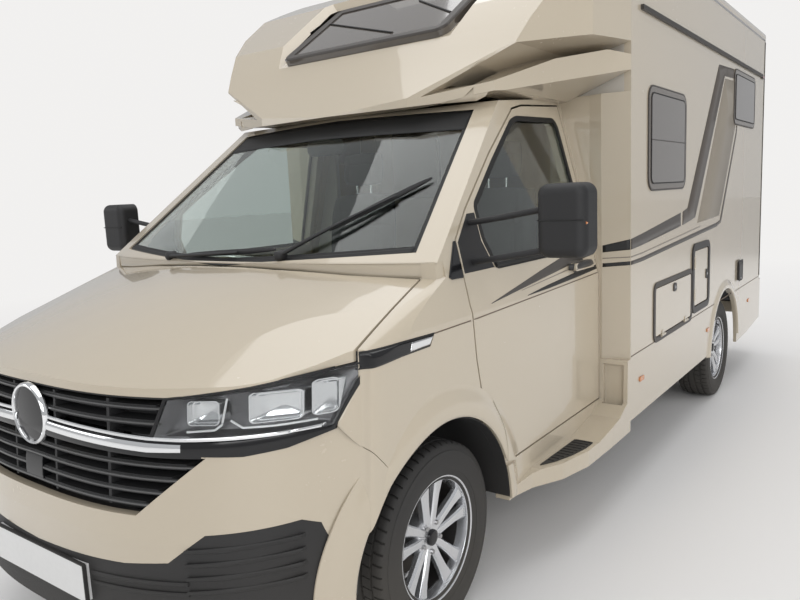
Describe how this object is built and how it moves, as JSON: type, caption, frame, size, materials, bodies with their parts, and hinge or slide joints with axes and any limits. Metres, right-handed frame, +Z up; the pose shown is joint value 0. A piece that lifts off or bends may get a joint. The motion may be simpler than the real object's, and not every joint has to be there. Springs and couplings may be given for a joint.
{
  "type": "semi-integrated camper van",
  "caption": "Camper van: bonneted van cab with an overcab skylight hood, panel-built living body, steered front wheels, opening doors, bonnet and service flaps.",
  "frame": {"origin": "on the ground under the middle of the vehicle's bounding box", "axes": "+Z up, the front faces -Y, +X is the vehicle's left side"},
  "size_m": [2.66, 5.892, 2.8499],
  "materials": {
    "sand_paint": "gloss",
    "black_plastic": "grained",
    "clear_glass": "clear",
    "tinted_acrylic": "tinted",
    "lamp_glass": "clear",
    "lamp_red": "gloss",
    "panel_board": "matte",
    "floor_trim": "matte",
    "seat_fabric": "woven",
    "dash_plastic": "grained",
    "chassis_steel": "satin",
    "engine_iron": "cast",
    "exhaust_steel": "brushed",
    "tank_plastic": "matte",
    "tyre": "matte",
    "alloy": "machined",
    "knuckle_iron": "cast",
    "plate_white": "satin"
  },
  "bodies": {
    "root": {"body_floor": "panel_board", "bulkhead": "panel_board", "bumper_trim": "black_plastic", "cab_body": "sand_paint", "cab_floor": "floor_trim", "cab_seats": "seat_fabric", "cab_steps": "sand_paint", "chassis_frame": "chassis_steel", "dashboard": "dash_plastic", "engine": "engine_iron", "exhaust": "exhaust_steel", "front_bumper": "sand_paint", "front_plate": "plate_white", "front_subframe": "chassis_steel", "front_wings": "sand_paint", "grille": "black_plastic", "headlamps": "lamp_glass", "hood_skylight": "tinted_acrylic", "overcab_hood": "sand_paint", "pillar_fairings": "sand_paint", "rear_axle": "chassis_steel", "rear_bumper": "sand_paint", "rear_wall": "sand_paint", "roof": "sand_paint", "roof_hatches": "black_plastic", "side_rails": "black_plastic", "side_wall_left": "sand_paint", "side_wall_right": "sand_paint", "skirts": "sand_paint", "steering_wheel": "dash_plastic", "tail_lamps": "lamp_red", "water_tank": "tank_plastic", "wheel_liners": "black_plastic", "window_panes": "tinted_acrylic", "window_rings": "black_plastic", "windshield": "clear_glass", "wipers": "black_plastic"},
    "cab_door_left": {"cab_door_left": "sand_paint", "door_glass_left": "clear_glass", "mirror_left": "black_plastic"},
    "cab_door_right": {"cab_door_right": "sand_paint", "door_glass_right": "clear_glass", "mirror_right": "black_plastic"},
    "bonnet": {"bonnet": "sand_paint"},
    "entry_door": {"entry_door": "sand_paint", "entry_door_glass": "tinted_acrylic"},
    "garage_door": {"garage_door": "sand_paint"},
    "service_flap": {"service_flap": "sand_paint"},
    "toilet_flap": {"toilet_flap": "sand_paint"},
    "knuckle_left": {"knuckle_left": "knuckle_iron"},
    "knuckle_right": {"knuckle_right": "knuckle_iron"},
    "wheel_front_left": {"tyre_front_left": "tyre", "rim_front_left": "alloy"},
    "wheel_front_right": {"tyre_front_right": "tyre", "rim_front_right": "alloy"},
    "wheel_rear_left": {"tyre_rear_left": "tyre", "rim_rear_left": "alloy"},
    "wheel_rear_right": {"tyre_rear_right": "tyre", "rim_rear_right": "alloy"}
  },
  "joints": [
    {"name": "cab_door_left_hinge", "type": "hinge", "parent": "root", "child": "cab_door_left", "pos_m": [0.938, -1.876, 1], "axis": [0, 0, -1], "range_deg": [0, 65]},
    {"name": "cab_door_right_hinge", "type": "hinge", "parent": "root", "child": "cab_door_right", "pos_m": [-0.938, -1.876, 1], "axis": [0, 0, 1], "range_deg": [0, 65]},
    {"name": "bonnet_hinge", "type": "hinge", "parent": "root", "child": "bonnet", "pos_m": [0, -2.166, 1.19], "axis": [-1, 0, 0], "range_deg": [0, 50]},
    {"name": "entry_door_hinge", "type": "hinge", "parent": "root", "child": "entry_door", "pos_m": [-1.098, -0.384, 1.592], "axis": [0, 0, 1], "range_deg": [0, 95]},
    {"name": "garage_door_hinge", "type": "hinge", "parent": "root", "child": "garage_door", "pos_m": [-1.098, 1.956, 1.13], "axis": [0, 0, 1], "range_deg": [0, 100]},
    {"name": "service_flap_hinge", "type": "hinge", "parent": "root", "child": "service_flap", "pos_m": [1.098, 0.099, 0.719], "axis": [0, 1, 0], "range_deg": [0, 95]},
    {"name": "toilet_flap_hinge", "type": "hinge", "parent": "root", "child": "toilet_flap", "pos_m": [1.098, 0.508, 0.937], "axis": [0, 0, -1], "range_deg": [0, 100]},
    {"name": "steer_left", "type": "hinge", "parent": "root", "child": "knuckle_left", "pos_m": [0.72, -2.026, 0.339], "axis": [0, 0, 1], "range_deg": [-35, 35]},
    {"name": "steer_right", "type": "hinge", "parent": "root", "child": "knuckle_right", "pos_m": [-0.72, -2.026, 0.339], "axis": [0, 0, 1], "range_deg": [-35, 35]},
    {"name": "wheel_front_left_spin", "type": "hinge", "parent": "knuckle_left", "child": "wheel_front_left", "pos_m": [0.8, -2.026, 0.339], "axis": [1, 0, 0], "continuous": true},
    {"name": "wheel_front_right_spin", "type": "hinge", "parent": "knuckle_right", "child": "wheel_front_right", "pos_m": [-0.8, -2.026, 0.339], "axis": [1, 0, 0], "continuous": true},
    {"name": "wheel_rear_left_spin", "type": "hinge", "parent": "root", "child": "wheel_rear_left", "pos_m": [0.951, 1.374, 0.339], "axis": [1, 0, 0], "continuous": true},
    {"name": "wheel_rear_right_spin", "type": "hinge", "parent": "root", "child": "wheel_rear_right", "pos_m": [-0.951, 1.374, 0.339], "axis": [1, 0, 0], "continuous": true}
  ],
  "couplings": [
    {"joint": "steer_right", "follows": "steer_left", "ratio": 1}
  ]
}
